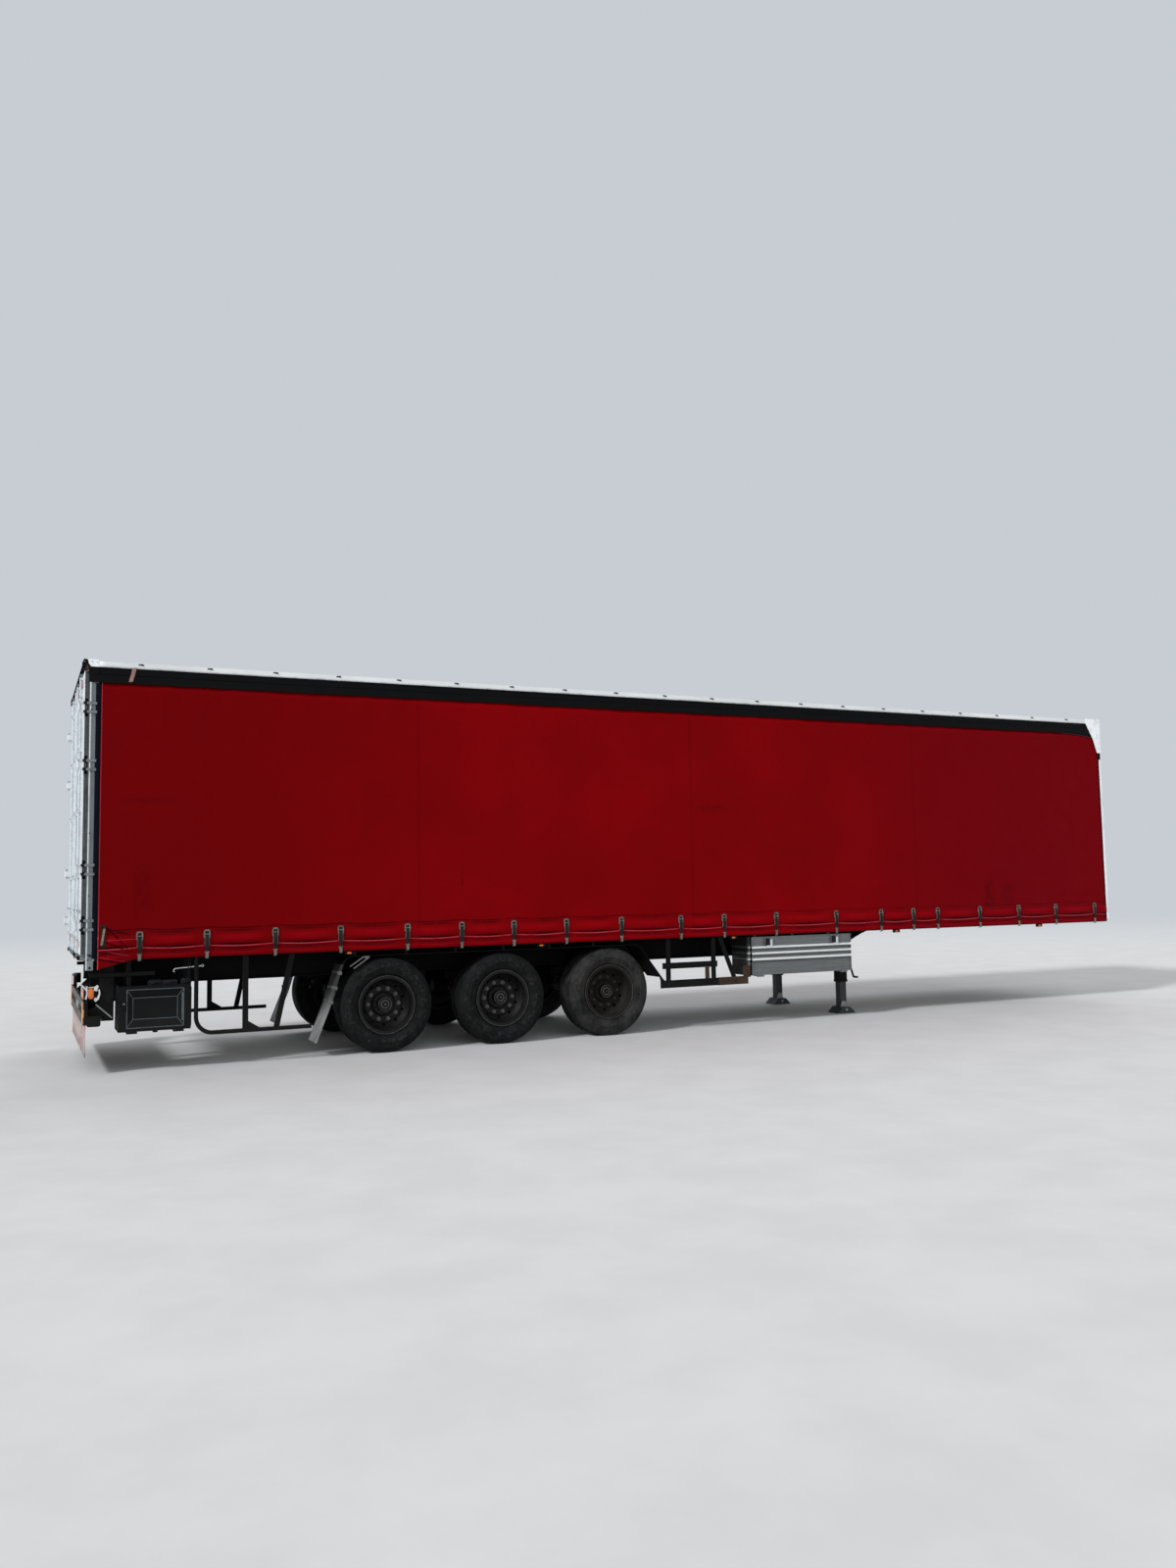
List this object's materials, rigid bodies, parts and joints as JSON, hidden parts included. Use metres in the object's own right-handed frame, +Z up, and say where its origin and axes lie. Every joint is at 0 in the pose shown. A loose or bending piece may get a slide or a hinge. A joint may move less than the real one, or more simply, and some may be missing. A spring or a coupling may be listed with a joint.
{
  "type": "semi trailer",
  "caption": "Tri-axle curtain-side semi trailer with tarpaulin sides, swinging rear doors, side lockers, air suspension and landing legs, parked on its legs.",
  "frame": {"origin": "on the ground, half way along the length and the width", "axes": "+X forward towards the kingpin, +Y to the vehicle left, +Z up"},
  "size_m": [13.651, 2.55, 4],
  "materials": {
    "chassis_black": "worn satin paint with dust",
    "deck_wood": "coated plywood",
    "door_white": "gloss paint with grime",
    "post_grey": "satin paint",
    "wall_white": "gloss paint",
    "rail_black": "satin",
    "curtain_red": "coated tarpaulin, half gloss",
    "roof_white": "coated tarpaulin",
    "cap_white": "moulded",
    "pillar_steel": "galvanized",
    "buckle_steel": "zinc plated, worn",
    "rod_steel": "galvanized",
    "locker_aluminium": "rolled sheet",
    "tyre_black": "worn",
    "rim_black": "dusty paint",
    "rim_rusty": "rust over paint",
    "rubber_black": "moulded",
    "flap_rubber": "faded",
    "plastic_black": "moulded grain",
    "lamp_amber": "moulded lens",
    "board_grey": "satin"
  },
  "bodies": {
    "chassis": {"main_beams": "chassis_black", "cross_members": "chassis_black", "side_raves": "chassis_black", "floor_deck": "deck_wood", "coupler_plate": "chassis_black", "kingpin": "rod_steel", "front_posts": "wall_white", "front_wall": "wall_white", "front_corner_caps": "cap_white", "cant_rails": "rail_black", "side_pillars": "pillar_steel", "roof_bows": "pillar_steel", "roof_sheet": "roof_white", "rear_posts": "post_grey", "rear_header": "post_grey", "rear_sill": "chassis_black", "door_hinges": "buckle_steel", "curtain_left": "curtain_red", "curtain_right": "curtain_red", "curtain_buckles": "buckle_steel", "rear_board": "board_grey", "lamps": "lamp_amber", "rear_flap": "flap_rubber", "mudguards": "plastic_black", "mud_flaps": "rubber_black", "axles": "chassis_black", "hangers": "chassis_black", "trailing_arms": "chassis_black", "air_springs": "rubber_black", "leg_housings": "chassis_black", "leg_feet": "rod_steel", "air_tanks": "chassis_black", "toolbox": "plastic_black", "locker": "locker_aluminium", "side_guards": "chassis_black"},
    "door_left": {"rear_door_left": "door_white", "lock_rods_left": "rod_steel"},
    "door_right": {"rear_door_right": "door_white", "lock_rods_right": "rod_steel"},
    "toolbox_front": {"toolbox_lid": "plastic_black"},
    "locker_front": {"locker_door": "locker_aluminium"},
    "wheel_1_left": {"tyre_1_left": "tyre_black", "rim_1_left": "rim_black"},
    "wheel_1_right": {"tyre_1_right": "tyre_black", "rim_1_right": "rim_black"},
    "wheel_2_left": {"tyre_2_left": "tyre_black", "rim_2_left": "rim_black"},
    "wheel_2_right": {"tyre_2_right": "tyre_black", "rim_2_right": "rim_black"},
    "wheel_3_left": {"tyre_3_left": "tyre_black", "rim_3_left": "rim_rusty"},
    "wheel_3_right": {"tyre_3_right": "tyre_black", "rim_3_right": "rim_rusty"}
  },
  "joints": [
    {"name": "wheel_1_left_spin", "type": "hinge", "parent": "chassis", "child": "wheel_1_left", "pos_m": [-3.7645, 1.0705, 0.498], "axis": [0, 1, 0], "continuous": true},
    {"name": "wheel_1_right_spin", "type": "hinge", "parent": "chassis", "child": "wheel_1_right", "pos_m": [-3.7645, -1.0705, 0.498], "axis": [0, 1, 0], "continuous": true},
    {"name": "wheel_2_left_spin", "type": "hinge", "parent": "chassis", "child": "wheel_2_left", "pos_m": [-2.4545, 1.0705, 0.498], "axis": [0, 1, 0], "continuous": true},
    {"name": "wheel_2_right_spin", "type": "hinge", "parent": "chassis", "child": "wheel_2_right", "pos_m": [-2.4545, -1.0705, 0.498], "axis": [0, 1, 0], "continuous": true},
    {"name": "wheel_3_left_spin", "type": "hinge", "parent": "chassis", "child": "wheel_3_left", "pos_m": [-1.1445, 1.0705, 0.498], "axis": [0, 1, 0], "continuous": true},
    {"name": "wheel_3_right_spin", "type": "hinge", "parent": "chassis", "child": "wheel_3_right", "pos_m": [-1.1445, -1.0705, 0.498], "axis": [0, 1, 0], "continuous": true},
    {"name": "door_left_swing", "type": "hinge", "parent": "chassis", "child": "door_left", "pos_m": [-6.8165, 1.266, 2.5], "axis": [0, 0, -1], "range_deg": [0, 270]},
    {"name": "door_right_swing", "type": "hinge", "parent": "chassis", "child": "door_right", "pos_m": [-6.8165, -1.266, 2.5], "axis": [0, 0, 1], "range_deg": [0, 270]},
    {"name": "toolbox_drop", "type": "hinge", "parent": "chassis", "child": "toolbox_front", "pos_m": [-6.0795, -1.245, 0.372], "axis": [1, 0, 0], "range_deg": [0, 120]},
    {"name": "locker_drop", "type": "hinge", "parent": "chassis", "child": "locker_front", "pos_m": [1.5405, -1.245, 0.577], "axis": [1, 0, 0], "range_deg": [0, 170]}
  ]
}
